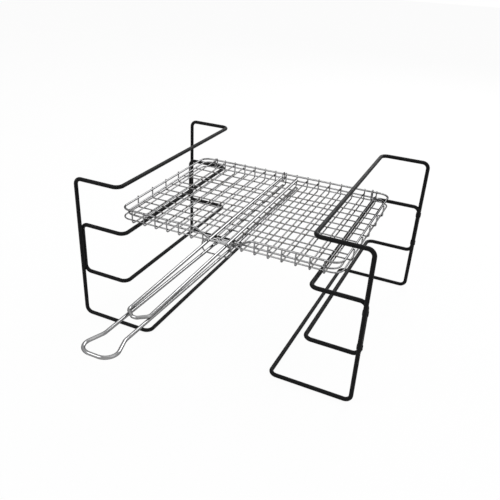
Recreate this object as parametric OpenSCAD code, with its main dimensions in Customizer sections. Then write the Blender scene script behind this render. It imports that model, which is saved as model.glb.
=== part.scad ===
// Wire grill basket on a pair of loose wire stands.
// X runs from the left stand to the right stand, Y runs from the grip to the rear, Z is up.
// Heights of the stands are heights of rod centres above the centre of the base rods.

/* [Stands] */
// thickness of the stand rod
stand_rod = 6.4; // [6:0.1:6.6]
// distance from the front upright to the rear upright
stand_depth = 360; // [350:5:400]
// distance from the left uprights to the right uprights
stand_span = 464; // [462:1:466]
// height of the lower shelf
lower_shelf = 78; // [60:1:90]
// height of the middle shelf, on which the basket lies
middle_shelf = 163; // [140:1:180]
// height of the top shelf
top_shelf = 243; // [230:1:270]
// reach of the shelves inwards from the uprights
shelf_reach = 80; // [79:1:81]
// reach of the base inwards from the uprights
base_reach = 125; // [100:5:150]
// bend radius of the outer frame, on the rod's centre
frame_bend = 10; // [8:1:14]
// bend radius of the shelf frame, on the rod's centre
shelf_bend = 11; // [10:1:16]

/* [Tray] */
// width of the tray's rim, on the wire's centre
tray_width = 366; // [364:1:368]
// depth of the tray's rim, on the wire's centre
tray_depth = 280; // [270:2:290]
// height of the rim above the cross wires of the floor
tray_height = 18.2; // [17.8:0.1:20]
// corner radius of the rim
tray_corner = 16; // [14:1:20]
// height of the dip in the front rim above the cross wires, where the lid's handle goes over it
dip_height = 5.3; // [5:0.1:5.8]
// half width of the dip at its bottom
dip_bottom = 23; // [22:0.5:24]
// half width of the dip at its top
dip_top = 46; // [44:1:48]
// bend radius of the dip
dip_bend = 14; // [8:1:16]
// thickness of the rim wire
rim_wire = 3.2; // [3:0.1:3.4]
// thickness of the bottom border wire
border_wire = 2.4; // [2.2:0.1:2.6]
// thickness of the mesh wires of tray and lid
mesh_wire = 2.2; // [2:0.1:2.3]
// number of long wires
long_count = 16; // [16]
// distance between long wires
long_pitch = 21.3; // [21:0.1:21.4]
// number of cross wires
cross_count = 5; // [3:1:5]
// distance between the tray's cross wires
cross_pitch = 43.7; // [40:0.5:48]
// how far the basket lies to the right of the middle of the stands
basket_right = -1; // [-3:0.5:1]
// how far the basket lies behind the middle of the stands
basket_back = 6; // [0:1:8]

/* [Lid] */
// width of the lid's border, on the wire's centre
lid_width = 356; // [350:1:357]
// thickness of the lid's border wire
lid_wire = 2.8; // [2.6:0.1:2.8]
// height of the lid's border above the cross wires of the tray's floor
lid_height = 9.5; // [9.4:0.1:9.8]
// slope of the lid, its rear side higher
lid_pitch = 0.75; // [0.6:0.05:0.8]
// lean of the lid, its left side higher
lid_lean = 0.7; // [0:0.1:0.7]
// distance of the lid's first cross wire behind its front border
lid_cross_start = 51; // [45:1:55]
// distance between the lid's cross wires
lid_cross_pitch = 44.3; // [42:0.1:46]

/* [Handles] */
// thickness of the handle rod
handle_rod = 4.5; // [4:0.1:4.5]
// distance between the legs of the tray's handle
tray_legs = 28.4; // [28.4:0.1:29]
// distance between the legs of the lid's handle
lid_legs = 30; // [28.6:0.2:32]
// distance from the rim to where the tray's handle opens into the grip
flare_reach = 269; // [255:1:272]
// distance from the rim to the end of the grip
grip_end = 308; // [305:1:320]
// width of the grip at its end, before its corners are rounded
grip_width = 54; // [46:1:58]
// bend radius of the grip's corners
grip_bend = 15; // [12:1:18]
// distance from the rim to the shoulders of the lid's handle
shoulder_reach = 220; // [214:1:222]
// distance from the rim to the tip of the lid's handle
tip_reach = 230; // [228:1:232]
// width of the tip of the lid's handle at its end, before its corners are rounded
tip_width = 6; // [5:1:12]

/* [Rings] */
// thickness of the lock ring's wire
ring_wire = 2.2; // [2:0.1:2.4]
// outer width of the lock ring
ring_width = 50; // [50:1:56]
// outer height of the lock ring
ring_height = 24.6; // [24.6:0.1:27]
// corner radius of the lock ring, on the wire's centre
ring_corner = 9.5; // [9:0.1:9.6]
// distance of the lock ring in front of the rim
ring_reach = 19; // [14:1:24]
// thickness of the hinge loops' wire
loop_wire = 2; // [1.8:0.1:2]
// outer width of a hinge loop
loop_width = 11.6; // [11.4:0.1:12.2]
// extra room in a hinge loop under the lid's border
loop_slack = 1.5; // [0:0.1:1.6]
// place of the left hinge loop, to the right of the basket's middle
loop_left = -156; // [-156:0.1:-155]
// place of the middle hinge loop
loop_middle = -14; // [-14.2:0.1:-14]
// place of the right hinge loop
loop_right = 153; // [150:1:154]

/* [Clearances] */
// gap between wires that are welded side by side
weld_gap = 0.05; // [0.03:0.01:0.06]
// gap under and round loose pieces that rest on others
rest_gap = 0.3; // [0.3:0.01:0.32]
// gap between the lid's border and the front and rear runs of the tray's rim
lid_gap = 0.5; // [0.5:0.1:0.7]
// gap between the rear ends of the lid's handle and the hinge loops
leg_gap = 2; // [1:0.5:8]

/* [Hidden] */
$fn = 48;
bend_swell = 0.06;
bend_lap = 0.2;

// stands
upright_x = stand_span / 2;
shelf_x = upright_x - shelf_reach;
frame_y = stand_depth / 2;
riser_y = frame_y - stand_rod - weld_gap;

// layers of the tray, as heights above the base rods
cross_z = middle_shelf + stand_rod / 2 + rest_gap + mesh_wire / 2;
long_z = cross_z - mesh_wire - weld_gap;
border_z = cross_z + mesh_wire / 2 + weld_gap + border_wire / 2;
rim_z = cross_z + tray_height;
tray_leg_z = cross_z - mesh_wire / 2 - weld_gap - handle_rod / 2;

// tray in plan: the wall wires stand outside the rim, and the bottom border lies inside them
half_width = tray_width / 2;
half_depth = tray_depth / 2;
wall_out = rim_wire / 2 + weld_gap + mesh_wire / 2;
wall_x = half_width + wall_out;
wall_y = half_depth + wall_out;
wall_bend = mesh_wire / 2 + weld_gap + border_wire / 2;
long_bend = border_z - long_z;

// the rim's dip lies over the bottom border, never in it
dip_z = max(cross_z + dip_height, border_z + (border_wire + rim_wire + bend_swell) / 2 + weld_gap);

// lid, in its own plane through the centre of its border
lid_rear = half_depth - rim_wire / 2 - lid_gap - lid_wire / 2;
lid_front = -lid_rear;
loop_y = (half_depth + lid_rear) / 2;
lid_cross_z = lid_wire / 2 - mesh_wire / 2;
lid_long_z = lid_cross_z + mesh_wire + weld_gap;
lid_leg_z = lid_wire / 2 + weld_gap + handle_rod / 2;
lid_z = cross_z + lid_height;

// the tray's handle rises in front of the rim, until the lid's tip lies a gap above it
lid_tip_z = lid_z + lid_leg_z - (half_depth + tip_reach) * sin(lid_pitch);
handle_rise = atan2(lid_tip_z - handle_rod - rest_gap - tray_leg_z, tip_reach);

// whole object in plan
front_end = basket_back - half_depth - grip_end - (handle_rod + bend_swell) / 2;
rear_end = frame_y + stand_rod / 2;
centre_y = (front_end + rear_end) / 2;

function unit(v) = v / norm(v);
function turn(a, b) = acos(max(-1, min(1, unit(a) * unit(b))));
function cut_back(a, p, b, bend) = bend * tan(turn(p - a, b - p) / 2);
function spaced(count, pitch) = [for (i = [0:count - 1]) (i - (count - 1) / 2) * pitch];
function mirrored(half) = [for (i = [len(half) - 1:-1:0]) [-half[i][0], half[i][1], half[i][2]]];
function reversed(list) = [for (i = [len(list) - 1:-1:0]) list[i]];

// height of the front rim's centre at a distance from the middle
function front_rim_z(x) = dip_z + (rim_z - dip_z) * max(0, min(1, (abs(x) - dip_bottom) / (dip_top - dip_bottom)));

// straight rod from point a to point b
module run(a, b, thick) {
  v = b - a;
  translate(a)
    rotate([0, acos(v[2] / norm(v)), atan2(v[1], v[0])])
      cylinder(h = norm(v), d = thick);
}

// round bend at corner p, between the run that comes from a and the run that goes to b
module elbow(a, p, b, bend, thick) {
  out = unit(p - a);
  inward = unit(unit(b - p) - (unit(b - p) * out) * out);
  middle = p - cut_back(a, p, b, bend) * out + bend * inward;
  side = cross(-inward, out);
  multmatrix([
    [-inward[0], out[0], side[0], middle[0]],
    [-inward[1], out[1], side[1], middle[1]],
    [-inward[2], out[2], side[2], middle[2]]
  ])
    rotate_extrude(angle = turn(p - a, b - p))
      translate([bend, 0])
        circle(d = thick);
}

// rod bent through a closed list of corners, with one bend radius for each corner
// with a swell its bends are a hair thicker than its straight runs, which end just inside them
module closed_rod(points, bends, thick, swell = 0) {
  n = len(points);
  lap = swell > 0 ? bend_lap : 0;
  for (i = [0:n - 1]) {
    a = points[(i + n - 1) % n];
    p = points[i];
    b = points[(i + 1) % n];
    c = points[(i + 2) % n];
    ahead = unit(b - p);
    start = cut_back(a, p, b, bends[i]) - lap;
    stop = cut_back(p, b, c, bends[(i + 1) % n]) - lap;
    elbow(a, p, b, bends[i], thick + swell);
    run(p + start * ahead, b - stop * ahead, thick);
  }
}

// rod with two free ends and swollen bends; the first and last bend radius are not used
module open_rod(points, bends, thick) {
  n = len(points);
  for (i = [1:n - 2])
    elbow(points[i - 1], points[i], points[i + 1], bends[i], thick + bend_swell);
  for (i = [0:n - 2]) {
    ahead = unit(points[i + 1] - points[i]);
    start = i == 0 ? 0 : cut_back(points[i - 1], points[i], points[i + 1], bends[i]) - bend_lap;
    stop = i == n - 2 ? 0 : cut_back(points[i], points[i + 1], points[i + 2], bends[i + 1]) - bend_lap;
    run(points[i] + start * ahead, points[i + 1] - stop * ahead, thick);
  }
}

// flat ring with round corners
module round_ring(width, depth, corner, thick) {
  x = width / 2;
  y = depth / 2;
  closed_rod([[-x, -y, 0], [x, -y, 0], [x, y, 0], [-x, y, 0]], [corner, corner, corner, corner], thick);
}

// puts the stands so that the object is centred in plan and stands on the floor
module on_floor() {
  translate([0, -centre_y, stand_rod / 2])
    children();
}

// puts the tray's pieces between the stands
module in_tray() {
  on_floor()
    translate([basket_right, basket_back, 0])
      children();
}

// puts the lid's pieces in the tray, sloping and leaning as it lies
module in_lid() {
  in_tray()
    translate([0, 0, lid_z])
      rotate([lid_pitch, lid_lean, 0])
        children();
}

// STANDS

// outer frame of the right stand: base, uprights and top shelf in one closed rod
module stand_frame() {
  x0 = upright_x - base_reach;
  x1 = upright_x;
  x2 = shelf_x;
  y = frame_y;
  corners = [
    [x0, -y, 0], [x1, -y, 0], [x1, -y, top_shelf], [x2, -y, top_shelf],
    [x2, y, top_shelf], [x1, y, top_shelf], [x1, y, 0], [x0, y, 0]
  ];
  inner = shelf_bend;
  outer = frame_bend;
  closed_rod(corners, [inner, outer, outer, inner, inner, outer, outer, inner], stand_rod);
}

// shelf frame of the right stand: middle and lower shelf and their risers in one closed rod
module shelf_frame() {
  y = riser_y;
  corners = [
    [shelf_x, -y, lower_shelf], [upright_x, -y, lower_shelf], [upright_x, -y, middle_shelf], [shelf_x, -y, middle_shelf],
    [shelf_x, y, middle_shelf], [upright_x, y, middle_shelf], [upright_x, y, lower_shelf], [shelf_x, y, lower_shelf]
  ];
  inner = shelf_bend;
  outer = frame_bend;
  closed_rod(corners, [inner, outer, outer, inner, inner, outer, outer, inner], stand_rod);
}

// weld beads of the right stand, in the grooves between risers and uprights
module weld_beads() {
  bead = stand_rod * 0.45;
  bead_length = 10;
  groove_x = stand_rod * 0.47;
  for (s = [-1, 1], z = [lower_shelf + frame_bend, middle_shelf - frame_bend - bead_length])
    difference() {
      for (side = [-1, 1])
        translate([upright_x + side * groove_x, s * (frame_y + riser_y) / 2, z])
          cylinder(h = bead_length, d = bead);
      for (y = [frame_y, riser_y])
        translate([upright_x, s * y, z - 1])
          cylinder(h = bead_length + 2, d = stand_rod);
    }
}

module left_frame() { color("#1c1c1e") on_floor() mirror([1, 0, 0]) stand_frame(); }

module left_shelves() { color("#1c1c1e") on_floor() mirror([1, 0, 0]) shelf_frame(); }

module left_welds() { color("#1c1c1e") on_floor() mirror([1, 0, 0]) weld_beads(); }

module right_frame() { color("#1c1c1e") on_floor() stand_frame(); }

module right_shelves() { color("#1c1c1e") on_floor() shelf_frame(); }

module right_welds() { color("#1c1c1e") on_floor() weld_beads(); }

// TRAY

// rim with a dip in its front run, for the lid's handle
module tray_rim() {
  x = half_width;
  y = half_depth;
  corners = [
    [-x, -y, rim_z], [-dip_top, -y, rim_z], [-dip_bottom, -y, dip_z],
    [dip_bottom, -y, dip_z], [dip_top, -y, rim_z], [x, -y, rim_z],
    [x, y, rim_z], [-x, y, rim_z]
  ];
  c = tray_corner;
  d = dip_bend;
  color("#c9ccd0")
    in_tray()
      closed_rod(corners, [c, d, d, d, d, c, c, c], rim_wire, bend_swell);
}

// bottom border: lies on the cross wires, inside the bends of the mesh wires
module tray_border() {
  x = wall_x - wall_bend;
  y = wall_y - wall_bend;
  color("#c9ccd0")
    in_tray()
      translate([0, 0, border_z])
        round_ring(2 * x, 2 * y, tray_corner, border_wire);
}

// flat stretches of the long wires
module tray_long_floor() {
  color("#c9ccd0")
    in_tray()
      for (x = spaced(long_count, long_pitch))
        run([x, -wall_y + long_bend, long_z], [x, wall_y - long_bend, long_z], mesh_wire);
}

// flat stretches of the cross wires
module tray_cross_floor() {
  color("#c9ccd0")
    in_tray()
      for (y = spaced(cross_count, cross_pitch))
        run([-wall_x + wall_bend, y, cross_z], [wall_x - wall_bend, y, cross_z], mesh_wire);
}

// bent-up end of one mesh wire: leaves the floor in direction X and rises along the rim to its top
module wall_end(floor_z, bend, rim) {
  top = rim + rim_wire / 2;
  elbow([-bend, 0, floor_z], [0, 0, floor_z], [0, 0, floor_z + bend], bend, mesh_wire);
  run([0, 0, floor_z + bend], [0, 0, top], mesh_wire);
}

// bent-up ends of the long wires at the front, where the rim dips for the handle
module long_ends_front() {
  color("#c9ccd0")
    in_tray()
      for (x = spaced(long_count, long_pitch))
        translate([x, -wall_y, 0])
          rotate([0, 0, -90])
            wall_end(long_z, long_bend, front_rim_z(x));
}

// bent-up ends of the long wires at the rear
module long_ends_rear() {
  color("#c9ccd0")
    in_tray()
      for (x = spaced(long_count, long_pitch))
        translate([x, wall_y, 0])
          rotate([0, 0, 90])
            wall_end(long_z, long_bend, rim_z);
}

// bent-up ends of the cross wires, at the left for side -1 and at the right for side 1
module cross_ends(side) {
  color("#c9ccd0")
    in_tray()
      for (y = spaced(cross_count, cross_pitch))
        translate([side * wall_x, y, 0])
          rotate([0, 0, side == 1 ? 0 : 180])
            wall_end(cross_z, wall_bend, rim_z);
}

module tray_front_wall() { long_ends_front(); }

module tray_rear_wall() { long_ends_rear(); }

module tray_left_wall() { cross_ends(-1); }

module tray_right_wall() { cross_ends(1); }

// tray handle: two legs under the floor, rising in front of the rim, and a grip for the hand
module tray_handle() {
  leg = tray_legs / 2;
  front = -half_depth;
  rise = tan(handle_rise);
  half = [
    [leg, half_depth - wall_bend, tray_leg_z], [leg, front, tray_leg_z],
    [leg, front - flare_reach, tray_leg_z + flare_reach * rise],
    [grip_width / 2, front - grip_end, tray_leg_z + grip_end * rise]
  ];
  bends = [0, 60, 20, grip_bend];
  color("#c9ccd0")
    in_tray()
      open_rod(concat(half, mirrored(half)), concat(bends, reversed(bends)), handle_rod);
}

// HINGE LOOPS

// upright oval ring round the rear rim wire and the lid's rear border; its bends hang on the rim wire
module hinge_loop(place) {
  wide = loop_width - loop_wire;
  flat = 0.3;
  corner = wide / 2 - flat;
  room = corner - loop_wire / 2 - rim_wire / 2 - weld_gap;
  aside = half_depth - loop_y - flat;
  top = rim_z + corner - sqrt(room * room - aside * aside);
  lid_low = lid_z + lid_rear * sin(lid_pitch) - loop_right * sin(lid_lean) - lid_wire / 2;
  low = lid_low - rest_gap - loop_slack - loop_wire / 2;
  color("#c9ccd0")
    in_tray()
      translate([place, loop_y, (top + low) / 2])
        rotate([90, 0, 90])
          round_ring(wide, top - low, corner, loop_wire);
}

module hinge_loop_left() { hinge_loop(loop_left); }

module hinge_loop_middle() { hinge_loop(loop_middle); }

module hinge_loop_right() { hinge_loop(loop_right); }

// LID

module lid_border() {
  color("#c9ccd0")
    in_lid()
      translate([0, (lid_front + lid_rear) / 2, 0])
        round_ring(lid_width, lid_rear - lid_front, tray_corner, lid_wire);
}

// long wires lie on the border and are cut off straight on it
module lid_long_wires() {
  color("#c9ccd0")
    in_lid()
      for (x = spaced(long_count, long_pitch))
        run([x, lid_front - 0.5, lid_long_z], [x, lid_rear + 0.5, lid_long_z], mesh_wire);
}

// cross wires lie under the long wires and end at the border
module lid_cross_wires() {
  reach = lid_width / 2 - lid_wire / 2 - weld_gap;
  color("#c9ccd0")
    in_lid()
      for (i = [0:cross_count - 1])
        translate([0, lid_front + lid_cross_start + i * lid_cross_pitch, lid_cross_z])
          run([-reach, 0, 0], [reach, 0, 0], mesh_wire);
}

// lid handle: two straight legs in the lid's plane and a blunt tip
module lid_handle() {
  leg = lid_legs / 2;
  front = -half_depth;
  rear = loop_y - loop_width / 2 - leg_gap;
  half = [
    [leg, rear, lid_leg_z], [leg, front - shoulder_reach, lid_leg_z], [tip_width / 2, front - tip_reach, lid_leg_z]
  ];
  bends = [0, 8, 5];
  color("#c9ccd0")
    in_lid()
      open_rod(concat(half, mirrored(half)), concat(bends, reversed(bends)), handle_rod);
}

// LOCK RING

// oblong ring that hangs on the lid's handle and goes round all four legs
module lock_ring() {
  along = half_depth + ring_reach;
  leg_top = lid_z + (lid_leg_z + handle_rod / 2) / cos(lid_pitch) - along * tan(lid_pitch);
  lean_room = lid_legs / 2 * tan(lid_lean);
  top = leg_top + lean_room + rest_gap + ring_wire / 2;
  tall = ring_height - ring_wire;
  color("#c9ccd0")
    in_tray()
      translate([0, -along, top - tall / 2])
        rotate([90, 0, 0])
          round_ring(ring_width - ring_wire, tall, ring_corner, ring_wire);
}

left_frame();
left_shelves();
left_welds();
right_frame();
right_shelves();
right_welds();
tray_rim();
tray_border();
tray_long_floor();
tray_cross_floor();
tray_front_wall();
tray_rear_wall();
tray_left_wall();
tray_right_wall();
tray_handle();
hinge_loop_left();
hinge_loop_middle();
hinge_loop_right();
lid_border();
lid_long_wires();
lid_cross_wires();
lid_handle();
lock_ring();
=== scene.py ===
"""Looks of the grill basket and its wire stands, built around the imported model."""

import math

import bpy
from mathutils import Matrix, Vector, noise


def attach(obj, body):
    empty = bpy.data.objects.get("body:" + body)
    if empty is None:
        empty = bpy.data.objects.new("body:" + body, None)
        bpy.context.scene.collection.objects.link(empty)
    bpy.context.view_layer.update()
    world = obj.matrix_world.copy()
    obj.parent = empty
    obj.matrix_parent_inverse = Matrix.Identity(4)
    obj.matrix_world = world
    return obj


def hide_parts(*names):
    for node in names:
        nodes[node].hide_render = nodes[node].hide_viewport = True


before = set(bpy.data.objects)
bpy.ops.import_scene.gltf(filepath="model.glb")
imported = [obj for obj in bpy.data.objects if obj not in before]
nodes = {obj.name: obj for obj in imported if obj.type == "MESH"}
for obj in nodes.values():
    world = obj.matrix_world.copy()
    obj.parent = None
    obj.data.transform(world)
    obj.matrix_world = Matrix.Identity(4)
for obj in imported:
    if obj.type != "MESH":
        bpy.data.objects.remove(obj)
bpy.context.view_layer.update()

MM = 0.001

# places, in millimetres, as the part's source has them
STANDS_Y = 130.54
BASE = 3.2
BASKET = Vector((-1.0, 136.54, 3.2))
HALF_WIDTH = 183.0
HALF_DEPTH = 140.0
LONG_PITCH = 21.3
CROSS_PITCH = 43.7
LONG_X = [(i - 7.5) * LONG_PITCH for i in range(16)]
CROSS_Y = [(i - 2) * CROSS_PITCH for i in range(5)]
LID_CROSS_Y = [-85.5 + 44.3 * i for i in range(5)]


# ---- camera ----

def make_camera():
    azimuth, elevation, roll = (math.radians(a) for a in (25.92, 28.35, 1.99))
    focal = 596.14
    back = Vector((math.sin(azimuth) * math.cos(elevation), -math.cos(azimuth) * math.cos(elevation), math.sin(elevation)))
    right = Vector((math.cos(azimuth), math.sin(azimuth), 0))
    up = back.cross(right)
    x_axis = math.cos(roll) * right + math.sin(roll) * up
    y_axis = math.cos(roll) * up - math.sin(roll) * right
    place = -51.79 * x_axis + 83.81 * y_axis + 1078.78 * back + Vector((0, STANDS_Y, BASE))
    data = bpy.data.cameras.new("camera")
    data.sensor_fit = "HORIZONTAL"
    data.sensor_width = 36
    data.lens = focal / 500 * 36
    data.shift_x = (250 - 225.26) / 500
    data.shift_y = (250.81 - 250) / 500
    data.clip_start = 0.05
    data.clip_end = 50
    camera = bpy.data.objects.new("camera", data)
    bpy.context.scene.collection.objects.link(camera)
    turn = Matrix((x_axis, y_axis, back)).transposed().to_4x4()
    camera.matrix_world = Matrix.Translation(place * MM) @ turn
    bpy.context.scene.camera = camera


# ---- node helpers ----

class Graph:
    """A material or world node tree, with short calls to add and join nodes."""

    def __init__(self, tree):
        self.tree = tree
        tree.nodes.clear()

    def add(self, kind, inputs=None, **settings):
        node = self.tree.nodes.new(kind)
        for key, value in settings.items():
            setattr(node, key, value)
        for key, value in (inputs or {}).items():
            if isinstance(value, bpy.types.NodeSocket):
                self.tree.links.new(value, node.inputs[key])
            else:
                node.inputs[key].default_value = value
        return node

    def math(self, kind, a, b=0.0, c=0.0, clamp=False):
        return self.add("ShaderNodeMath", {0: a, 1: b, 2: c}, operation=kind, use_clamp=clamp).outputs[0]

    def noise(self, vector, scale, detail=3.0, roughness=0.5):
        return self.add("ShaderNodeTexNoise", {"Vector": vector, "Scale": scale, "Detail": detail, "Roughness": roughness}).outputs["Fac"]

    def remap(self, value, low, high, to_low, to_high):
        inputs = {"Value": value, "From Min": low, "From Max": high, "To Min": to_low, "To Max": to_high}
        return self.add("ShaderNodeMapRange", inputs).outputs["Result"]

    def mix(self, fac, a, b):
        node = self.add("ShaderNodeMix", data_type="RGBA")
        for index, value in ((0, fac), (6, a), (7, b)):
            if isinstance(value, bpy.types.NodeSocket):
                self.tree.links.new(value, node.inputs[index])
            else:
                node.inputs[index].default_value = value
        return node.outputs[2]


def new_material(name):
    material = bpy.data.materials.new(name)
    material.use_nodes = True
    return material, Graph(material.node_tree)


def place_of(graph):
    """Position on the object, in metres, still while the bodies move."""
    return graph.add("ShaderNodeTexCoord").outputs["Object"]


def stretched(graph, vector, scales):
    return graph.add("ShaderNodeMapping", {"Vector": vector, "Scale": scales}).outputs["Vector"]


def black_coat(name):
    """Baked black coating of the stands: deep black, a soft sheen, a fine orange peel and faint rubbing."""
    material, g = new_material(name)
    where = place_of(g)
    cloud = g.noise(where, 38, 4)
    grain = g.noise(where, 900, 2)
    peel = g.noise(where, 420, 2, 0.4)
    dust = g.remap(g.noise(where, 1900, 1), 0.63, 0.72, 0, 1)
    base = g.mix(g.remap(cloud, 0.35, 0.65, 0, 1), (0.005, 0.005, 0.0054, 1), (0.009, 0.009, 0.0094, 1))
    base = g.mix(g.math("MULTIPLY", dust, 0.35), base, (0.035, 0.035, 0.036, 1))
    rough = g.math("ADD", g.remap(cloud, 0.3, 0.7, 0.46, 0.58), g.remap(grain, 0.3, 0.7, -0.03, 0.03))
    height = g.math("ADD", g.math("MULTIPLY", peel, 1.0), g.math("MULTIPLY", grain, 0.35))
    bump = g.add("ShaderNodeBump", {"Height": height, "Strength": 0.22, "Distance": 0.00008})
    shader = g.add("ShaderNodeBsdfPrincipled", {
        "Base Color": base, "Roughness": rough, "IOR": 1.15, "Normal": bump.outputs["Normal"],
    })
    g.add("ShaderNodeOutputMaterial", {"Surface": shader.outputs["BSDF"]})
    return material


def bright_wire(name, along, shade=0.62, rough=(0.16, 0.30), tints=()):
    """Plated wire: draw marks along the wire, a mottled polish, and a faint warm tint at its welds.

    along is the wire's direction, or None where it bends; tints are (axis, first weld, pitch) in metres."""
    material, g = new_material(name)
    where = place_of(g)
    scales = [1.0, 1.0, 1.0] if along is None else [0.04 if axis == along else 1.0 for axis in "XYZ"]
    lined = stretched(g, where, scales)
    draw = g.noise(lined, 2600, 2, 0.6)
    cloud = g.noise(where, 60, 4)
    speck = g.remap(g.noise(where, 1500, 2), 0.62, 0.7, 0, 1)
    low, high = shade * 0.86, shade * 1.06
    base = g.mix(g.remap(cloud, 0.35, 0.65, 0, 1), (low, low, low * 1.01, 1), (high, high, high * 1.01, 1))
    base = g.mix(g.math("MULTIPLY", speck, 0.5), base, (shade * 0.45, shade * 0.44, shade * 0.43, 1))
    for axis, first, pitch in tints:
        part = g.add("ShaderNodeSeparateXYZ", {"Vector": where}).outputs[axis]
        near = g.math("PINGPONG", g.math("SUBTRACT", part, first), pitch / 2)
        burnt = g.remap(near, 0.0008, 0.0028, 0.55, 0)
        base = g.mix(g.math("MULTIPLY", burnt, g.remap(cloud, 0.3, 0.7, 0.5, 1)), base, (0.12, 0.10, 0.08, 1))
    roughness = g.math("ADD", g.remap(cloud, 0.3, 0.7, *rough), g.remap(draw, 0.3, 0.7, -0.04, 0.05))
    bump = g.add("ShaderNodeBump", {"Height": draw, "Strength": 0.25, "Distance": 0.00004})
    shader = g.add("ShaderNodeBsdfPrincipled", {
        "Base Color": base, "Metallic": 1.0, "Roughness": roughness, "Specular Tint": (0.0, 0.0, 0.0, 1),
        "Normal": bump.outputs["Normal"],
    })
    g.add("ShaderNodeOutputMaterial", {"Surface": shader.outputs["BSDF"]})
    return material


def weld_metal(name):
    """Small welds between the wires: duller, pitted and slightly brown."""
    material, g = new_material(name)
    where = place_of(g)
    pits = g.noise(where, 1800, 3, 0.6)
    cloud = g.noise(where, 140, 2)
    base = g.mix(g.remap(cloud, 0.35, 0.65, 0, 1), (0.055, 0.05, 0.045, 1), (0.13, 0.125, 0.12, 1))
    rough = g.remap(pits, 0.3, 0.7, 0.32, 0.5)
    bump = g.add("ShaderNodeBump", {"Height": pits, "Strength": 0.5, "Distance": 0.0001})
    shader = g.add("ShaderNodeBsdfPrincipled", {
        "Base Color": base, "Metallic": 1.0, "Roughness": rough, "Normal": bump.outputs["Normal"],
    })
    g.add("ShaderNodeOutputMaterial", {"Surface": shader.outputs["BSDF"]})
    return material


def paint(name, material):
    """Gives a carried-over node its material."""
    data = nodes[name].data
    data.materials.clear()
    data.materials.append(material)
    for face in data.polygons:
        face.material_index = 0


# ---- small pieces ----

def add_mesh(name, points, faces, material, body, smooth=True):
    data = bpy.data.meshes.new(name)
    data.from_pydata([tuple(p) for p in points], [], faces)
    data.materials.append(material)
    data.update()
    if smooth:
        for face in data.polygons:
            face.use_smooth = True
    piece = bpy.data.objects.new(name, data)
    bpy.context.scene.collection.objects.link(piece)
    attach(piece, body)
    return piece


def nugget(centre, axis, radius, height, seed):
    """A weld nugget pressed out between two wires: a flat, uneven button with four shallow lobes."""
    around, rings = 12, 5
    axis = Vector(axis).normalized()
    side = axis.orthogonal().normalized()
    other = axis.cross(side)
    points, faces = [centre - axis * height], []
    for r in range(1, rings):
        angle = math.pi * r / rings - math.pi / 2
        for a in range(around):
            turn = 2 * math.pi * a / around
            wobble = 1 + 0.10 * noise.noise(Vector((seed * 1.7, 2.1 * math.cos(turn), 2.1 * math.sin(turn) + r)))
            reach = radius * math.cos(angle) * (1 + 0.10 * math.cos(4 * turn)) * wobble
            points.append(centre + axis * height * math.sin(angle) + reach * (math.cos(turn) * side + math.sin(turn) * other))
    points.append(centre + axis * height)
    top = len(points) - 1
    for a in range(around):
        b = (a + 1) % around
        faces.append((0, 1 + b, 1 + a))
        for r in range(rings - 2):
            low, high = 1 + r * around, 1 + (r + 1) * around
            faces.append((low + a, low + b, high + b, high + a))
        faces.append((1 + (rings - 2) * around + a, 1 + (rings - 2) * around + b, top))
    return points, faces


def nuggets(name, spots, matrix, material, body):
    """One mesh of many weld nuggets. spots are (x, y, z, axis, radius, height) in millimetres."""
    points, faces = [], []
    turn = matrix.to_3x3()
    for seed, (x, y, z, axis, radius, height) in enumerate(spots):
        more, sides = nugget(matrix @ Vector((x, y, z)), turn @ Vector(axis), radius, height, seed)
        base = len(points)
        points += [p * MM for p in more]
        faces += [tuple(base + i for i in f) for f in sides]
    return add_mesh(name, points, faces, material, body)


def front_rim(x):
    """Height of the front rim's centre above the base rods, with its dip for the lid's handle."""
    return 172.9 + 12.9 * max(0.0, min(1.0, (abs(x) - 23) / 23))


def tray_spots():
    flat, wide = (0, 0, 1), 1.15
    spots = [(x, y, 166.475, flat, wide, 0.6) for x in LONG_X for y in CROSS_Y]
    for x in LONG_X:
        spots.append((x, HALF_DEPTH + 1.63, 185.8, (0, 1, 0), wide, 0.5))
        spots.append((x, -HALF_DEPTH - 1.63, front_rim(x), (0, 1, 0), wide, 0.5))
        spots += [(x, s * (HALF_DEPTH + 1.63), 169.95, (0, 1, 0), 1.05, 0.5) for s in (-1, 1)]
    for y in CROSS_Y:
        for s in (-1, 1):
            spots.append((s * (HALF_WIDTH + 1.63), y, 185.8, (1, 0, 0), wide, 0.5))
            spots.append((s * (HALF_WIDTH + 0.4), y, 168.73, flat, 1.1, 0.5))
            spots.append((s * 14.2, y, 166.47, flat, 1.5, 0.55))
    return spots


def lid_spots():
    flat = (0, 0, 1)
    spots = [(x, y, 1.425, flat, 1.15, 0.6) for x in LONG_X for y in LID_CROSS_Y]
    spots += [(x, s * 136.5, 1.425, flat, 1.2, 0.55) for x in LONG_X for s in (-1, 1)]
    spots += [(s * 176.57, y, 0.15, (1, 0, 0), 1.15, 0.5) for y in LID_CROSS_Y for s in (-1, 1)]
    spots += [(s * 15, y, 1.425, flat, 1.5, 0.55) for y in [-136.5, *LID_CROSS_Y] for s in (-1, 1)]
    return spots


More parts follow.
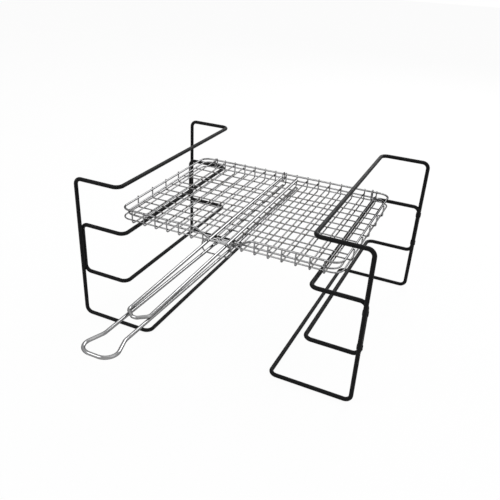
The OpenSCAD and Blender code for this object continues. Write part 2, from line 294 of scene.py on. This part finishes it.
def bead(x, y, low, length, radius, seed):
    """A rippled weld bead along Z, with rounded ends."""
    around, rings = 14, 30
    points, faces = [], []
    for r in range(rings + 1):
        t = r / rings
        end = math.sqrt(max(0.0, 1 - abs(2 * t - 1) ** 7))
        ripple = 0.93 + 0.07 * abs(math.sin(math.pi * 8 * t + 0.4))
        for a in range(around):
            turn = 2 * math.pi * a / around
            wobble = 1 + 0.05 * noise.noise(Vector((seed + 3 * t, math.cos(turn), math.sin(turn))))
            reach = max(0.05, radius * end * ripple * wobble)
            points.append(Vector((x + reach * math.cos(turn), y + reach * math.sin(turn), low + length * t)) * MM)
    for r in range(rings):
        for a in range(around):
            b = (a + 1) % around
            low_ring, high_ring = r * around, (r + 1) * around
            faces.append((low_ring + a, low_ring + b, high_ring + b, high_ring + a))
    faces.append(tuple(range(around - 1, -1, -1)))
    faces.append(tuple(rings * around + a for a in range(around)))
    return points, faces


def stand_beads(side, body, material):
    """Rippled beads in the grooves between the shelf frame's risers and the outer frame's uprights."""
    points, faces = [], []
    seed = 0
    for s in (-1, 1):
        for groove in (-1, 1):
            for low in (91.2, 146.2):
                seed += 1
                more, sides = bead(side * 232 + groove * 3.01, STANDS_Y + s * 176.775, low, 10, 1.42, seed * 5.3)
                base = len(points)
                points += more
                faces += [tuple(base + i for i in f) for f in sides]
    piece = add_mesh(body + "_weld_beads", points, faces, material, body)
    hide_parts(body.replace("_stand", "_welds"))


# ---- floor, backdrop, light ----

def make_floor():
    """Large white floor. Seen directly or in a reflection it glows nearly as the backdrop does, and keeps a faint shadow."""
    size = 6.0
    data = bpy.data.meshes.new("floor")
    data.from_pydata([(-size, -size, 0), (size, -size, 0), (size, size, 0), (-size, size, 0)], [], [(0, 1, 2, 3)])
    floor = bpy.data.objects.new("floor", data)
    bpy.context.scene.collection.objects.link(floor)
    floor.location.z = -0.0003
    material, g = new_material("floor_white")
    where = place_of(g)
    tone = g.remap(g.noise(where, 3, 2), 0.3, 0.7, 0.86, 0.9)
    colour = g.add("ShaderNodeCombineColor", {"Red": tone, "Green": tone, "Blue": tone}).outputs[0]
    matt = g.add("ShaderNodeBsdfDiffuse", {"Color": colour})
    glow = g.add("ShaderNodeEmission", {"Color": (1, 1, 1, 1), "Strength": 1.0})
    path = g.add("ShaderNodeLightPath").outputs
    seen = g.math("MAXIMUM", g.math("MAXIMUM", path["Is Camera Ray"], path["Is Glossy Ray"]), path["Is Transmission Ray"])
    share = g.math("MULTIPLY", seen, 0.95)
    mixed = g.add("ShaderNodeMixShader", {0: share, 1: matt.outputs[0], 2: glow.outputs[0]})
    g.add("ShaderNodeOutputMaterial", {"Surface": mixed.outputs[0]})
    data.materials.append(material)


def make_world():
    """White backdrop for the camera and for reflections, and an even fill for the rest."""
    world = bpy.data.worlds.new("studio")
    bpy.context.scene.world = world
    world.use_nodes = True
    g = Graph(world.node_tree)
    path = g.add("ShaderNodeLightPath").outputs
    seen = g.math("MAXIMUM", g.math("MAXIMUM", path["Is Camera Ray"], path["Is Glossy Ray"]), path["Is Transmission Ray"])
    strength = g.math("MULTIPLY_ADD", seen, 1.0 - 0.35, 0.35)
    light = g.add("ShaderNodeBackground", {"Color": (1, 1, 1, 1), "Strength": strength})
    g.add("ShaderNodeOutputWorld", {"Surface": light.outputs[0]})


def add_area(name, place, aim, size, power):
    data = bpy.data.lights.new(name, "AREA")
    data.shape = "DISK"
    data.size = size
    data.energy = power
    lamp = bpy.data.objects.new(name, data)
    bpy.context.scene.collection.objects.link(lamp)
    lamp.location = place
    lamp.rotation_mode = "QUATERNION"
    lamp.rotation_quaternion = (Vector(aim) - Vector(place)).to_track_quat("-Z", "Y")


# ---- the scene ----

make_camera()

coat = black_coat("black_coat")
for name in ("left_frame", "left_shelves", "right_frame", "right_shelves"):
    paint(name, coat)

cross_tints = [("Y", (BASKET.y + CROSS_Y[0]) * MM, CROSS_PITCH * MM)]
long_tints = [("X", (BASKET.x + LONG_X[0]) * MM, LONG_PITCH * MM)]
lid_tints = [("Y", (BASKET.y + LID_CROSS_Y[0]) * MM, 44.3 * MM)]
bent = bright_wire("bright_bent_wire", None, 0.21, (0.09, 0.18))
lengthwise = bright_wire("bright_long_wire", "Y", 0.155, (0.09, 0.18), cross_tints)
crosswise = bright_wire("bright_cross_wire", "X", 0.155, (0.09, 0.18), long_tints)
lid_lengthwise = bright_wire("bright_lid_wire", "Y", 0.165, (0.09, 0.18), lid_tints)
# the wall wires are the floor's plated wire given a lighter base, 0.28 against 0.155: a painted lighter shade on
# the upright wires
upright = bright_wire("bright_wall_wire_painted_lighter", "Z", 0.28, (0.14, 0.24))
rod = bright_wire("bright_handle_rod", "Y", 0.28, (0.08, 0.15))
loop = bright_wire("bright_loop_wire", None, 0.23, (0.1, 0.2))

for name in ("tray_rim", "tray_border", "lid_border"):
    paint(name, bent)
for name in ("tray_front_wall", "tray_rear_wall", "tray_left_wall", "tray_right_wall"):
    paint(name, upright)
for name in ("tray_handle", "lid_handle"):
    paint(name, rod)
for name in ("hinge_loop_left", "hinge_loop_middle", "hinge_loop_right", "lock_ring"):
    paint(name, loop)
paint("tray_long_floor", lengthwise)
paint("tray_cross_floor", crosswise)
paint("lid_cross_wires", crosswise)
paint("lid_long_wires", lid_lengthwise)

weld = weld_metal("weld_metal")
in_tray = Matrix.Translation(BASKET)
in_lid = in_tray @ Matrix.Translation((0, 0, 177.1))
in_lid = in_lid @ Matrix.Rotation(math.radians(0.7), 4, "Y") @ Matrix.Rotation(math.radians(0.75), 4, "X")
nuggets("tray_weld_nuggets", tray_spots(), in_tray, weld, "tray")
nuggets("lid_weld_nuggets", lid_spots(), in_lid, weld, "lid")
for side, body in ((-1, "left_stand"), (1, "right_stand")):
    stand_beads(side, body, coat)

make_floor()
make_world()
add_area("key", (-0.9, -1.3, 1.9), (0, 0.1, 0.1), 1.2, 20)
add_area("fill", (1.7, -0.2, 1.5), (0, 0.1, 0.1), 1.6, 6)
add_area("top", (0.1, 0.6, 2.4), (0, 0.1, 0.1), 2.0, 6)
add_area("back", (0.2, 1.75, 1.35), (0, 0.1, 0.1), 1.4, 28)

bpy.context.scene.view_settings.view_transform = "Standard"
